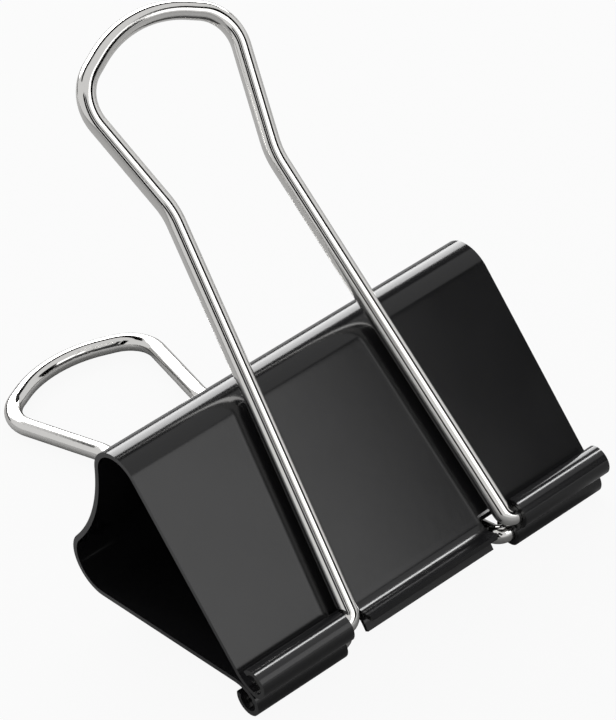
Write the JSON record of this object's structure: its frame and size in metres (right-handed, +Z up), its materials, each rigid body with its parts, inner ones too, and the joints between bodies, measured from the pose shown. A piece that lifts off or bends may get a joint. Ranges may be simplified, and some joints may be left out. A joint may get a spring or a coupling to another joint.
{
  "type": "foldback clip",
  "caption": "Sprung triangular sheet-steel clip that grips a stack of paper, with fold-over wire handles in rolled barrels.",
  "frame": {"origin": "middle of the nip line, where the closed jaws meet", "axes": "+X along the jaw, +Y from the jaw towards the back handle's tip along the surface it lies on, +Z up"},
  "size_m": [0.051, 0.0724, 0.0623],
  "materials": {
    "body_enamel": "gloss black enamel",
    "handle_wire": "bright nickel plate"
  },
  "bodies": {
    "spine": {"spine": "body_enamel"},
    "front_side": {"front_side": "body_enamel"},
    "back_side": {"back_side": "body_enamel"},
    "front_handle": {"front_handle": "handle_wire"},
    "back_handle": {"back_handle": "handle_wire"}
  },
  "joints": [
    {"name": "front_jaw_open", "type": "hinge", "parent": "spine", "child": "front_side", "pos_m": [0, 0.01436, 0.0209], "axis": [-1, 0, 0], "range_deg": [0, 28], "stiffness_Nm_per_rad": 3, "springref_deg": -8.59},
    {"name": "back_jaw_open", "type": "hinge", "parent": "spine", "child": "back_side", "pos_m": [0, 0.02536, -0.00003], "axis": [1, 0, 0], "range_deg": [0, 28], "stiffness_Nm_per_rad": 3, "springref_deg": -8.59},
    {"name": "front_handle_fold", "type": "hinge", "parent": "front_side", "child": "front_handle", "pos_m": [0, -0.00138, 0.00139], "axis": [1, 0, 0], "range_deg": [0, 150]},
    {"name": "back_handle_fold", "type": "hinge", "parent": "back_side", "child": "back_handle", "pos_m": [0, 0.00036, -0.00192], "axis": [-1, 0, 0], "range_deg": [0, 150]}
  ],
  "couplings": [
    {"joint": "back_jaw_open", "follows": "front_jaw_open", "ratio": 1}
  ]
}
